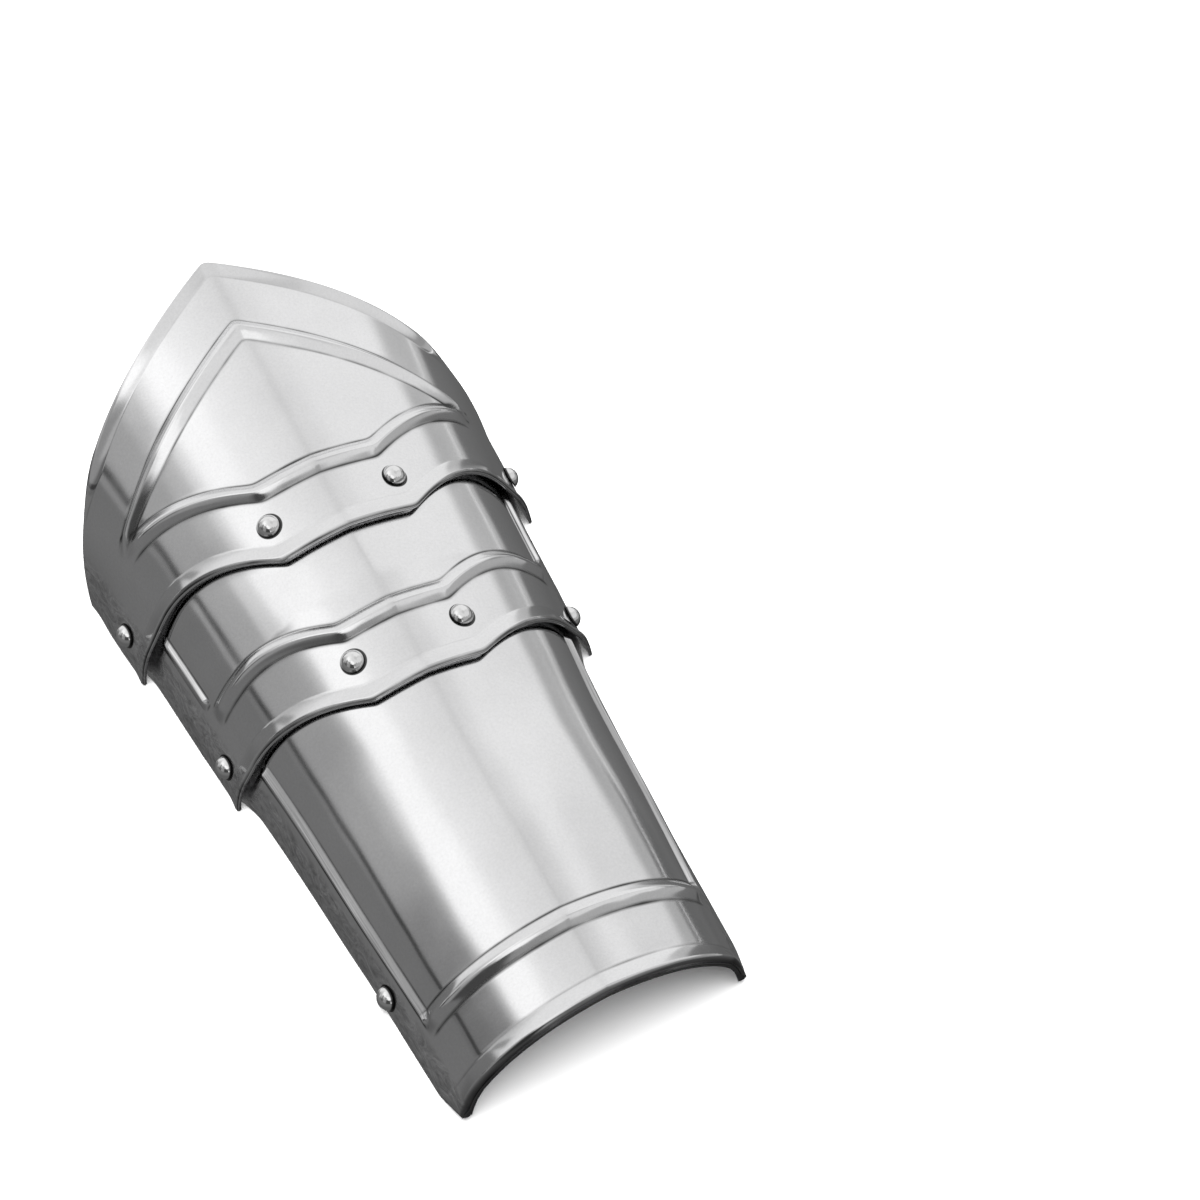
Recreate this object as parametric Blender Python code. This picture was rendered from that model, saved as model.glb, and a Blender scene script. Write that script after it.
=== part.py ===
"""Steel vambrace: three gutter-shaped plates, lapped towards the wrist, with nine domed rivets.

The forearm runs along Y, with the wrist at Y = 0 before centring and the elbow point towards +Y.
The plates lie open side down on Z = 0 and are symmetric about X = 0, but for the slightly one-sided
tip and the wrist plate's one rivet. Sizes are millimetres until the meshes are made. A place on a plate
is (t, y): t runs from -1 at one long edge over the crown at 0 to 1 at the other edge, and y is the
distance from the wrist edge.
"""

import math

import bpy
import bmesh
from mathutils import Matrix, Vector

MM = 0.001

# The gutter that all three plates follow: outer half width and crown height along the forearm.
LENGTH = 277.8
WRIST_HALF_WIDTH = 47.6
HALF_WIDTH_GAIN = 36.9
HALF_WIDTH_HOLLOW = 14.5
WRIST_HEIGHT = 35.1
HEIGHT_GAIN = 44.4
HEIGHT_HOLLOW = 13.2
SPREAD = math.radians(82.5)

# Share of the room between its neighbours that a crowded grid row keeps.
ROW_SHARE = 0.3

# Sheet and laps.
THICKNESS = 1.2
GAP = 0.3
TUCK = THICKNESS + GAP
WRIST_TUCK_START = 55.0
WRIST_TUCK_END = 110.0
MIDDLE_TUCK_START = 153.0
MIDDLE_TUCK_LEAD = 2.0

# Turned-out edges. The lips keep a share of their height at the long edges; the border and the flange
# ease away over the stated range of t, and the border narrows to a share of its width.
LIP_WIDTH = 7.0
LIP_HEIGHT = 1.9
LIP_ROLL = 1.5
LIP_ROLL_DROP = 0.3
LIP_ENDS = (0.85, 1.0)
LIP_END_SHARE = 0.4
BORDER_WIDTH = 4.8
BORDER_HEIGHT = 1.8
BORDER_ENDS = (0.56, 0.77)
BORDER_END_SHARE = 0.25
FLANGE_WIDTH = 7.4
FLANGE_HEIGHT = 2.3
FLANGE_ENDS = (0.7, 1.0)
TURN_POWER = 1.3

# The flange ends in a solid rolled bead: how far the roll reaches in from the wrist edge and drops, and
# the sheet's thickness at its nose and its crest, which runs out to the plain sheet by BEAD_RUN_OUT.
# The roll eases away to a blunt edge over BEAD_ENDS at each corner.
BEAD_ROLL = 2.2
BEAD_DROP = 2.5
BEAD_NOSE = 0.6
BEAD_ENDS = (0.88, 0.97)
BEAD_THICKNESS = 3.0
BEAD_RUN_OUT = 6.5

# Splay: beyond this t each plate stands further out, by (y, height at the long edge). The heights of
# lapped plates agree at the side rivets, and stand apart at the lapping edge.
SPLAY_START = 0.75
ELBOW_SPLAY = ((191.0, 2.4), (203.0, 1.85), (212.0, 1.2), (221.0, 0.0))
MIDDLE_SPLAY = (
    (128.0, 2.5), (152.0, 1.5), (164.0, 1.35), (187.0, 0.9), (198.0, 2.05), (210.0, 1.4))
WRIST_SPLAY = (
    (0.0, 0.6), (10.0, 2.0), (30.0, 1.45), (55.0, 0.45), (100.0, 0.5), (123.0, 0.0), (134.0, 2.25),
    (149.0, 1.6))

# Embossed ribs across the plates, each easing away over the stated range of t at each side.
RIB_HEIGHT = 2.0
WAVE_HALF_WIDTH = 3.6
POINT_RIB_HALF_WIDTH = 4.1
POINT_RIB_END_HALF_WIDTH = 2.6
POINT_RIB_NARROWS = (0.35, 0.7)
POINT_RIB_ENDS = (0.62, 0.76)
RIB_VALLEY = 0.2
ELBOW_RIB_ENDS = (0.59, 0.7)
MIDDLE_RIB_ENDS = (0.72, 0.80)
WRIST_RIB_ENDS = (0.76, 0.82)
WRIST_RIB_Y = 26.0
WRIST_RIB_HALF_WIDTH = 3.6

# Flat-topped rib along each side: t of its middle, its half width in t, and y of its wrist end.
MIDDLE_SIDE_RIB = (0.797, 0.024, 156.0)
WRIST_SIDE_RIB = (0.77, 0.033, 25.0)
SIDE_RIB_HEIGHT = 1.3
SIDE_RIB_FULLNESS = 0.6
SIDE_RIB_RUN_IN = 4.0

# Soft crease along the crown.
KEEL_HEIGHT = 1.0
KEEL_REACH = 12.0

# Elbow plate, which is a little one-sided: the t of its tip and the tip's bluntness in t; how far the
# pointed outline falls towards each side, the bulge of that fall and its skew; then the pointed rib's y
# below the tip and its slopes per unit of t and of t squared.
TIP_T = -0.014
TIP_BLUNTNESS = 0.008
OUTLINE_DROP = 53.0
OUTLINE_BULGE = 18.0
OUTLINE_SKEW = 2.2
POINT_RIB = (250.6, -69.2, 26.3)

# Scalloped lines: y over the crown, the t of the cusp, and the rise past it per unit and unit squared.
ELBOW_EDGE = (170.1, 0.24, 75.1, 82.9)
ELBOW_WAVE = (195.6, 0.20, 69.2, 65.0)
MIDDLE_EDGE = (114.5, 0.22, 48.5, 44.0)
MIDDLE_WAVE = (140.1, 0.20, 56.3, 71.8)

MIDDLE_TOP = 210.0
WRIST_TOP = 149.0
CORNER_CUT_Y = 10.5
CORNER_CUT_T = 0.967

# Rivets: domed head outside, shank through both sheets, flat peened tail inside.
HEAD_RADIUS = 3.85
HEAD_HEIGHT = 2.9
SHANK_RADIUS = 1.6
HOLE_RADIUS = SHANK_RADIUS + GAP
TAIL_RADIUS = 2.8
TAIL_END_RADIUS = 2.3
TAIL_HEIGHT = 1.0
RIVET_SIDES = 16
DOME_RINGS = 5
HOLE_SIDES = 12
PIN_LENGTH = 12.0
LAPPED = THICKNESS + TUCK

# Where the rivets are: t, y, the depth of sheet that each holds, and the sides that have one. The first
# word of a name is its outer plate.
SIDES = {"left": -1.0, "right": 1.0}
RIVETS = {
    "elbow_crown": (0.222, 184.2, LAPPED, ("left", "right")),
    "elbow_side": (0.911, 201.6, LAPPED, ("left", "right")),
    "middle_crown": (0.212, 130.0, LAPPED, ("left", "right")),
    "middle_side": (0.907, 139.6, LAPPED, ("left", "right")),
    "wrist_side": (0.925, 44.0, THICKNESS, ("left",)),
}
HOLES = {
    "elbow_plate": ("elbow_crown", "elbow_side"),
    "middle_plate": ("elbow_crown", "elbow_side", "middle_crown", "middle_side"),
    "wrist_plate": ("middle_crown", "middle_side", "wrist_side"),
}

STEEL = (0.56, 0.57, 0.58, 1.0)
STEEL_ROUGHNESS = 0.28
RIVET_STEEL = (0.66, 0.67, 0.68, 1.0)
RIVET_ROUGHNESS = 0.12
CREASE_ANGLE = math.radians(40.0)


def clear_scene():
    for thing in list(bpy.data.objects):
        bpy.data.objects.remove(thing, do_unlink=True)


def smooth_step(start, end, value):
    """0 up to start and 1 from end on, with level ends."""
    part = min(max((value - start) / (end - start), 0.0), 1.0)
    return part * part * (3.0 - 2.0 * part)


def ease_away(ends, t):
    """1 over the middle of a plate, falling to 0 over the range of t in ends at each side."""
    return 1.0 - smooth_step(*ends, abs(t))


def ridge(distance, half_width):
    """Round-topped rib section with crisp feet, 1 at the crest."""
    part = abs(distance) / half_width
    return math.cos(0.5 * math.pi * part) if part < 1.0 else 0.0


def turned_edge(distance, width, roll=0.0):
    """Edge turned outwards over width, up to 1 where its last stretch, roll wide, begins."""
    rise = 1.0 - (max(distance, roll) - roll) / (width - roll)
    return max(rise, 0.0) ** TURN_POWER


def rolled_down(distance, roll):
    """Fall of an edge's last stretch, 1 at its rim."""
    return max(1.0 - distance / roll, 0.0) ** 2


def outline(t):
    """The elbow plate's pointed upper edge."""
    side = abs(t - TIP_T)
    fall = math.hypot(side, TIP_BLUNTNESS) - TIP_BLUNTNESS
    skew = OUTLINE_SKEW * (t - TIP_T) * (1.0 - t * t)
    return LENGTH - fall * (OUTLINE_DROP + OUTLINE_BULGE * (1.0 - side) ** 2) + skew


def border_width(t):
    return BORDER_WIDTH * (BORDER_END_SHARE + (1.0 - BORDER_END_SHARE) * ease_away(BORDER_ENDS, t))


def wrist_edge(t):
    """Straight across, with the two bottom corners cut back."""
    return CORNER_CUT_Y * max((abs(t) - CORNER_CUT_T) / (1.0 - CORNER_CUT_T), 0.0)


def scallop(shape, t):
    """Level over the crown, then an arch from each cusp that stays at its top."""
    level, cusp, slope, bend = shape
    past = min(max(abs(t) - cusp, 0.0), 0.5 * slope / bend)
    return level + slope * past - bend * past * past


def point_rib_half_width(t):
    narrowing = (POINT_RIB_END_HALF_WIDTH - POINT_RIB_HALF_WIDTH) * smooth_step(*POINT_RIB_NARROWS, abs(t))
    return POINT_RIB_HALF_WIDTH + narrowing


def point_rib_crest(t):
    """The pointed rib's crest, which runs beside the wave rib once the two meet."""
    apex, slope, bend = POINT_RIB
    side = abs(t - TIP_T)
    beside = scallop(ELBOW_WAVE, t) + WAVE_HALF_WIDTH + RIB_VALLEY + point_rib_half_width(t)
    return max(apex + slope * side + bend * side * side, beside)


def gutter_point(t, y):
    part = y / LENGTH
    half_width = WRIST_HALF_WIDTH + HALF_WIDTH_GAIN * part + HALF_WIDTH_HOLLOW * part * (part - 1.0)
    height = WRIST_HEIGHT + HEIGHT_GAIN * part + HEIGHT_HOLLOW * part * (part - 1.0)
    angle = t * SPREAD
    x = half_width * math.sin(angle) / math.sin(SPREAD)
    z = height * (math.cos(angle) - math.cos(SPREAD)) / (1.0 - math.cos(SPREAD))
    return Vector((x, y, z))


def section_normal(t, y):
    """Outward normal of the gutter's cross-section at y."""
    step = 0.001
    along = gutter_point(t + step, y) - gutter_point(t - step, y)
    return Vector((-along.z, 0.0, along.x)).normalized()


def keel(t, y):
    return KEEL_HEIGHT * math.exp(-abs(gutter_point(t, y).x) / KEEL_REACH)


def side_rib(shape, t, y, high):
    """Rib that rises from its wrist end and sinks just before the next plate, whose edge is at high."""
    middle, half_width, low = shape
    start = smooth_step(low, low + SIDE_RIB_RUN_IN, y)
    end = 1.0 - smooth_step(high - SIDE_RIB_RUN_IN, high, y)
    return SIDE_RIB_HEIGHT * start * end * ridge(abs(t) - middle, half_width) ** SIDE_RIB_FULLNESS


def lip(edge, t, y):
    end = LIP_END_SHARE + (1.0 - LIP_END_SHARE) * ease_away(LIP_ENDS, t)
    distance = y - scallop(edge, t)
    rise = turned_edge(distance, LIP_WIDTH, LIP_ROLL) - LIP_ROLL_DROP * rolled_down(distance, LIP_ROLL)
    return LIP_HEIGHT * end * rise


def splay(heights, t, y):
    """Straight between the heights' places in y, and level past the first and the last."""
    height = heights[0][1]
    for (start, low), (end, high) in zip(heights, heights[1:]):
        height += (high - low) * min(max((y - start) / (end - start), 0.0), 1.0)
    return height * smooth_step(SPLAY_START, 1.0, abs(t))


def elbow_relief(t, y):
    wave = ridge(y - scallop(ELBOW_WAVE, t), WAVE_HALF_WIDTH) * ease_away(ELBOW_RIB_ENDS, t)
    point = ridge(y - point_rib_crest(t), point_rib_half_width(t)) * ease_away(POINT_RIB_ENDS, t)
    border = BORDER_HEIGHT * turned_edge(outline(t) - y, border_width(t)) * ease_away(BORDER_ENDS, t)
    edges = lip(ELBOW_EDGE, t, y) + border + splay(ELBOW_SPLAY, t, y)
    return RIB_HEIGHT * max(wave, point) + edges + keel(t, y)


def middle_tuck(t, y):
    """Straight down to where it goes below the elbow plate's edge."""
    length = scallop(ELBOW_EDGE, t) - MIDDLE_TUCK_LEAD - MIDDLE_TUCK_START
    return TUCK * min(max((y - MIDDLE_TUCK_START) / length, 0.0), 1.0)


def middle_relief(t, y):
    wave = ridge(y - scallop(MIDDLE_WAVE, t), WAVE_HALF_WIDTH)
    rib = RIB_HEIGHT * wave * ease_away(MIDDLE_RIB_ENDS, t)
    side = side_rib(MIDDLE_SIDE_RIB, t, y, scallop(ELBOW_EDGE, t)) + splay(MIDDLE_SPLAY, t, y)
    return rib + lip(MIDDLE_EDGE, t, y) + side + keel(t, y) - middle_tuck(t, y)


def wrist_relief(t, y):
    rib = RIB_HEIGHT * ridge(y - WRIST_RIB_Y, WRIST_RIB_HALF_WIDTH) * ease_away(WRIST_RIB_ENDS, t)
    distance = y - wrist_edge(t)
    flange = FLANGE_HEIGHT * ease_away(FLANGE_ENDS, t) * turned_edge(distance, FLANGE_WIDTH, BEAD_ROLL)
    bead = flange - BEAD_DROP * ease_away(BEAD_ENDS, t) * rolled_down(distance, BEAD_ROLL)
    side = side_rib(WRIST_SIDE_RIB, t, y, scallop(MIDDLE_EDGE, t)) + splay(WRIST_SPLAY, t, y)
    tuck = TUCK * smooth_step(WRIST_TUCK_START, WRIST_TUCK_END, y)
    return rib + bead + side + keel(t, y) - tuck


def plain_thickness(t, y):
    return THICKNESS


def wrist_thickness(t, y):
    distance = y - wrist_edge(t)
    nose = (BEAD_THICKNESS - BEAD_NOSE) * ease_away(BEAD_ENDS, t) * rolled_down(distance, BEAD_ROLL)
    run_out = (BEAD_THICKNESS - THICKNESS) * smooth_step(BEAD_ROLL, BEAD_RUN_OUT, distance)
    return BEAD_THICKNESS - nose - run_out


def rib_rows(crest, half_width):
    return [crest + half_width * step for step in (-1.0, -0.5, 0.5, 1.0)]


def elbow_rows(t):
    low = scallop(ELBOW_EDGE, t)
    wave = rib_rows(scallop(ELBOW_WAVE, t), WAVE_HALF_WIDTH)
    point = rib_rows(point_rib_crest(t), point_rib_half_width(t))
    high = outline(t)
    border = max(high - border_width(t), point[-1] + ROW_SHARE * (high - point[-1]))
    return (
        [low, low + LIP_ROLL, low + LIP_WIDTH]
        + wave
        + [0.5 * (wave[-1] + point[0])]
        + point
        + [border, 0.5 * (border + high), high]
    )


def middle_rows(t):
    low = scallop(MIDDLE_EDGE, t)
    side_start = MIDDLE_SIDE_RIB[2]
    side_end = scallop(ELBOW_EDGE, t)
    side_full = side_start + SIDE_RIB_RUN_IN
    side_sinks = max(side_end - SIDE_RIB_RUN_IN, side_full + ROW_SHARE * (side_end - side_full))
    return (
        [low, low + LIP_ROLL, low + LIP_WIDTH]
        + rib_rows(scallop(MIDDLE_WAVE, t), WAVE_HALF_WIDTH)
        + [side_start, side_full, 0.5 * (side_full + side_sinks)]
        + [side_sinks, side_end, 0.5 * (side_end + MIDDLE_TOP), MIDDLE_TOP]
    )


def wrist_rows(t):
    low = wrist_edge(t)
    rib = rib_rows(WRIST_RIB_Y, WRIST_RIB_HALF_WIDTH)
    side_end = scallop(MIDDLE_EDGE, t)
    return (
        [low + step for step in (0.0, 0.5 * BEAD_ROLL, BEAD_ROLL, 0.5 * FLANGE_WIDTH, FLANGE_WIDTH)]
        + rib
        + [0.5 * (rib[-1] + WRIST_TUCK_START)]
        + [WRIST_TUCK_START, 0.5 * (WRIST_TUCK_START + WRIST_TUCK_END), WRIST_TUCK_END]
        + [side_end - SIDE_RIB_RUN_IN, side_end, 0.5 * (side_end + WRIST_TOP), WRIST_TOP]
    )


def side_rib_columns(shape):
    middle, half_width = shape[:2]
    return tuple(middle + half_width * step for step in (-1.0, -0.67, 0.67, 1.0))


def both_sides(columns):
    return [-t for t in reversed(columns)] + [0.0] + list(columns)


# Places in t where each plate's grid has a column, given from the crown to one side.
ELBOW_COLUMNS = sorted([TIP_T] + both_sides((
    0.04, 0.12, 0.20, 0.24, 0.29, 0.35, 0.41, 0.47, 0.53, 0.58, 0.62, 0.66, 0.70, 0.76, 0.84, 0.92, 1.0)))
MIDDLE_COLUMNS = both_sides(
    (0.04, 0.12, 0.20, 0.26, 0.33, 0.40, 0.48, 0.56, 0.65, 0.72)
    + side_rib_columns(MIDDLE_SIDE_RIB) + (0.88, 0.94, 1.0))
WRIST_COLUMNS = both_sides(
    (0.05, 0.14, 0.23, 0.32, 0.41, 0.50, 0.59, 0.67)
    + side_rib_columns(WRIST_SIDE_RIB) + (0.85, 0.90, CORNER_CUT_T, 1.0))


def surface_point(relief, t, y):
    return gutter_point(t, y) + section_normal(t, y) * relief(t, y)


def plate_mesh(name, columns, rows, relief, thickness):
    """Closed sheet: an outer and an inner grid over the same (t, y) places, stitched round the rim."""
    mesh = bmesh.new()
    outer = []
    inner = []
    for t in columns:
        on_edge = abs(t) == 1.0
        outer.append([])
        inner.append([])
        for y in rows(t):
            top = surface_point(relief, t, y)
            under = top - section_normal(t, y) * thickness(t, y)
            if on_edge:
                top.z = 0.0
                under.z = 0.0
            outer[-1].append(mesh.verts.new(top * MM))
            inner[-1].append(mesh.verts.new(under * MM))
    last_column = len(columns) - 1
    last_row = len(outer[0]) - 1
    for i in range(last_column):
        for j in range(last_row):
            mesh.faces.new((outer[i][j], outer[i + 1][j], outer[i + 1][j + 1], outer[i][j + 1]))
            mesh.faces.new((inner[i][j], inner[i][j + 1], inner[i + 1][j + 1], inner[i + 1][j]))
        mesh.faces.new((outer[i][0], inner[i][0], inner[i + 1][0], outer[i + 1][0]))
        mesh.faces.new((outer[i][last_row], outer[i + 1][last_row],
                        inner[i + 1][last_row], inner[i][last_row]))
    for j in range(last_row):
        mesh.faces.new((outer[0][j], outer[0][j + 1], inner[0][j + 1], inner[0][j]))
        mesh.faces.new((outer[last_column][j], inner[last_column][j],
                        inner[last_column][j + 1], outer[last_column][j + 1]))
    data = bpy.data.meshes.new(name)
    mesh.to_mesh(data)
    mesh.free()
    return data


def rivet_place(relief, t, y):
    """Matrix, in metres, that stands +Z on the plate's true outward normal at (t, y)."""
    step = 0.01
    along = surface_point(relief, t + step, y) - surface_point(relief, t - step, y)
    forward = surface_point(relief, t, y + 1.0) - surface_point(relief, t, y - 1.0)
    normal = along.cross(forward).normalized()
    turn = normal.to_track_quat("Z", "Y").to_matrix().to_4x4()
    return Matrix.Translation(surface_point(relief, t, y) * MM) @ turn


def turned_mesh(name, profile):
    """Solid of revolution about Z from (radius, height) points in mm, its ends on the axis."""
    mesh = bmesh.new()
    rings = []
    for radius, height in profile:
        if radius == 0.0:
            rings.append([mesh.verts.new((0.0, 0.0, height * MM))])
            continue
        ring = []
        for k in range(RIVET_SIDES):
            angle = 2.0 * math.pi * k / RIVET_SIDES
            place = Vector((radius * math.cos(angle), radius * math.sin(angle), height))
            ring.append(mesh.verts.new(place * MM))
        rings.append(ring)
    for lower, upper in zip(rings, rings[1:]):
        for k in range(RIVET_SIDES):
            after = (k + 1) % RIVET_SIDES
            if len(lower) == 1:
                mesh.faces.new((lower[0], upper[after], upper[k]))
            elif len(upper) == 1:
                mesh.faces.new((lower[k], lower[after], upper[0]))
            else:
                mesh.faces.new((lower[k], lower[after], upper[after], upper[k]))
    data = bpy.data.meshes.new(name)
    mesh.to_mesh(data)
    mesh.free()
    return data


def rivet_profile(depth):
    """From the tail's end up to the top of the dome; Z = 0 is the outer face of the sheet."""
    dome = (HEAD_RADIUS ** 2 + HEAD_HEIGHT ** 2) / (2.0 * HEAD_HEIGHT)
    reach = math.asin(HEAD_RADIUS / dome)
    tail = -depth - GAP
    points = [
        (0.0, tail - TAIL_HEIGHT),
        (TAIL_END_RADIUS, tail - TAIL_HEIGHT),
        (TAIL_RADIUS, tail),
        (SHANK_RADIUS, tail),
        (SHANK_RADIUS, GAP),
    ]
    for ring in range(DOME_RINGS, 0, -1):
        angle = reach * ring / DOME_RINGS
        points.append((dome * math.sin(angle), GAP + HEAD_HEIGHT - dome * (1.0 - math.cos(angle))))
    return points + [(0.0, GAP + HEAD_HEIGHT)]


def steel(name, colour, roughness):
    material = bpy.data.materials.new(name)
    material.use_nodes = True
    shader = material.node_tree.nodes["Principled BSDF"]
    shader.inputs["Base Color"].default_value = colour
    shader.inputs["Metallic"].default_value = 1.0
    shader.inputs["Roughness"].default_value = roughness
    return material


def add_object(name, data, material):
    thing = bpy.data.objects.new(name, data)
    data.materials.append(material)
    data.shade_smooth()
    data.set_sharp_from_angle(angle=CREASE_ANGLE)
    bpy.context.scene.collection.objects.link(thing)
    return thing


def hole_cutter(name, places):
    """One guide with a pin through each rivet place; it isn't part of the object."""
    mesh = bmesh.new()
    for place in places:
        bmesh.ops.create_cone(
            mesh, cap_ends=True, segments=HOLE_SIDES, radius1=HOLE_RADIUS * MM,
            radius2=HOLE_RADIUS * MM, depth=PIN_LENGTH * MM, matrix=place)
    data = bpy.data.meshes.new(name)
    mesh.to_mesh(data)
    mesh.free()
    cutter = bpy.data.objects.new(name, data)
    cutter.hide_render = True
    cutter.display_type = "WIRE"
    bpy.context.scene.collection.objects.link(cutter)
    return cutter


def build():
    clear_scene()
    plates = {
        "elbow_plate": (ELBOW_COLUMNS, elbow_rows, elbow_relief, plain_thickness),
        "middle_plate": (MIDDLE_COLUMNS, middle_rows, middle_relief, plain_thickness),
        "wrist_plate": (WRIST_COLUMNS, wrist_rows, wrist_relief, wrist_thickness),
    }
    centring = Matrix.Translation((0.0, -0.5 * LENGTH * MM, 0.0))

    places = {}
    for group, (t, y, depth, sides) in RIVETS.items():
        relief = plates[group.split("_")[0] + "_plate"][2]
        places[group] = {side: rivet_place(relief, SIDES[side] * t, y) for side in sides}
        for side, place in places[group].items():
            name = "rivet_" + group + "_" + side
            finish = steel(name + "_steel", RIVET_STEEL, RIVET_ROUGHNESS)
            rivet = add_object(name, turned_mesh(name, rivet_profile(depth)), finish)
            rivet.matrix_world = centring @ place

    for name, (columns, rows, relief, thickness) in plates.items():
        finish = steel(name + "_steel", STEEL, STEEL_ROUGHNESS)
        plate = add_object(name, plate_mesh(name, columns, rows, relief, thickness), finish)
        plate.matrix_world = centring
        pins = [place for group in HOLES[name] for place in places[group].values()]
        cutter = hole_cutter(name + "_holes", pins)
        cutter.matrix_world = centring
        drill = plate.modifiers.new("rivet_holes", "BOOLEAN")
        drill.operation = "DIFFERENCE"
        drill.solver = "EXACT"
        drill.object = cutter


build()
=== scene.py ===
"""Looks of the steel vambrace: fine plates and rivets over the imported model, their steel, and a studio.

The plates repeat the shape functions of the part's source on a much finer grid, with filleted ribs and
rounded sheet edges. Shapes are worked out in millimetres, with the wrist edge at y = 0; a place on a
plate is (t, y), where t runs from -1 at one long edge over the crown at 0 to 1 at the other edge.
"""

import math

import bpy
import bmesh
import numpy as np
from mathutils import Matrix, Vector


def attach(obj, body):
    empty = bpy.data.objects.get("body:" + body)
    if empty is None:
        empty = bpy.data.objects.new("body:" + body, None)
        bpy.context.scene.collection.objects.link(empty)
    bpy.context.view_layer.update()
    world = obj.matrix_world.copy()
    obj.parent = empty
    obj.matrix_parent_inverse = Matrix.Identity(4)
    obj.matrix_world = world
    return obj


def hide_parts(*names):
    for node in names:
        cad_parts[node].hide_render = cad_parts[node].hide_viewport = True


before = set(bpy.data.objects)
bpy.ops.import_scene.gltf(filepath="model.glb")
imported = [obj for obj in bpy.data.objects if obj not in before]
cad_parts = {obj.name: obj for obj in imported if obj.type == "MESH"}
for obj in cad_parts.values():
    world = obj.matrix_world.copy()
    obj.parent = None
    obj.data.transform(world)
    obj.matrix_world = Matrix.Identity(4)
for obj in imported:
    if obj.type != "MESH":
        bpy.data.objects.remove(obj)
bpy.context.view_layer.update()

MM = 0.001

# The gutter that all three plates follow: outer half width and crown height along the forearm.
LENGTH = 277.8
WRIST_HALF_WIDTH = 47.6
HALF_WIDTH_GAIN = 36.9
HALF_WIDTH_HOLLOW = 14.5
WRIST_HEIGHT = 35.1
HEIGHT_GAIN = 44.4
HEIGHT_HOLLOW = 13.2
SPREAD = math.radians(82.5)

# Sheet and laps, and the rounding of the sheet's edges: how far it reaches in, and its steps.
THICKNESS = 1.2
GAP = 0.3
TUCK = THICKNESS + GAP
WRIST_TUCK = (55.0, 110.0)
MIDDLE_TUCK_START = 153.0
MIDDLE_TUCK_LEAD = 2.0
EDGE_REACH = 0.5
EDGE_STEPS = 6

# Turned-out edges: width, height and, for the lips, the stretch that rolls back down.
LIP_WIDTH = 7.0
LIP_HEIGHT = 1.9
LIP_ROLL = 1.5
LIP_ROLL_DROP = 0.3
LIP_ENDS = (0.85, 1.0)
LIP_END_SHARE = 0.4
BORDER_WIDTH = 4.8
BORDER_HEIGHT = 1.8
BORDER_ENDS = (0.56, 0.77)
BORDER_END_SHARE = 0.25
BORDER_ROW_SHARE = 0.3
FLANGE_WIDTH = 7.4
FLANGE_HEIGHT = 2.3
FLANGE_ENDS = (0.7, 1.0)
TURN_POWER = 1.3

# Rolled bead of the wrist edge: how far its roll reaches in and drops, the thickness at its nose and its
# crest, and where it has run out to the plain sheet.
BEAD_ROLL = 2.2
BEAD_DROP = 2.5
BEAD_NOSE = 0.6
BEAD_ENDS = (0.88, 0.97)
BEAD_THICKNESS = 3.0
BEAD_RUN_OUT = 6.5

# Splay of the long edges beyond this t, as (y, height at the long edge). Its turns are rounded over
# SPLAY_ROUND mm each way, by averaging this many places.
SPLAY_START = 0.75
SPLAY_ROUND = 3.0
SPLAY_PLACES = 61
ELBOW_SPLAY = ((191.0, 2.4), (203.0, 1.85), (212.0, 1.2), (221.0, 0.0))
MIDDLE_SPLAY = (
    (128.0, 2.5), (152.0, 1.5), (164.0, 1.35), (187.0, 0.9), (198.0, 2.05), (210.0, 1.4))
WRIST_SPLAY = (
    (0.0, 0.6), (10.0, 2.0), (30.0, 1.45), (55.0, 0.45), (100.0, 0.5), (123.0, 0.0), (134.0, 2.25),
    (149.0, 1.6))

# Ribs across the plates: height, then the distances from the crest to the foot on the wrist side and
# on the elbow side. Crests are rounded over CREST_ROUND mm, feet over a share of the height.
RIB_HEIGHT = 2.0
WAVE_FEET = (3.1, 4.1)
WAVE_SHIFT = -0.5
POINT_FEET = (4.1, 4.1)
POINT_END_FEET = (2.6, 2.6)
POINT_RIB_NARROWS = (0.35, 0.7)
POINT_RIB_ENDS = (0.61, 0.72)
RIB_VALLEY = 0.1
WRIST_RIB_FEET = (3.2, 4.0)
CREST_ROUND = 0.9
FOOT_ROUND = 0.06
ELBOW_RIB_ENDS = (0.59, 0.7)
MIDDLE_RIB_ENDS = (0.72, 0.80)
WRIST_RIB_ENDS = (0.70, 0.82)
WRIST_RIB_Y = 26.0

# Rib along each side: t of its middle, its half width in t, y of its wrist end, how far its crest lies
# off the middle as a share of the half width, and its height.
MIDDLE_SIDE_RIB = (0.797, 0.024, 156.5, -0.2, 1.15)
WRIST_SIDE_RIB = (0.77, 0.033, 25.5, 0.2, 1.3)
SIDE_RIB_RUN_IN = 2.5
SIDE_RIB_ROUND = 0.12

# Soft crease along the crown.
KEEL_HEIGHT = 1.0
KEEL_REACH = 12.0

# Elbow plate, a little one-sided: the t and bluntness of its tip, the fall, bulge and skew of its
# pointed outline, and the pointed rib.
TIP_T = -0.014
TIP_BLUNTNESS = 0.008
OUTLINE_DROP = 53.0
OUTLINE_BULGE = 18.0
OUTLINE_SKEW = 2.2
POINT_RIB = (250.6, -69.2, 26.3)

# Scalloped lines: y over the crown, the t of the cusp, and the rise past it per unit and unit squared.
ELBOW_EDGE = (170.1, 0.24, 75.1, 82.9)
ELBOW_WAVE = (195.6, 0.20, 69.2, 65.0)
MIDDLE_EDGE = (114.5, 0.22, 48.5, 44.0)
MIDDLE_WAVE = (140.1, 0.20, 56.3, 71.8)
CUSP_ROUND = 0.016

MIDDLE_TOP = 210.0
WRIST_TOP = 149.0
CORNER_CUT_Y = 10.5
CORNER_CUT_T = 0.967

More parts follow.
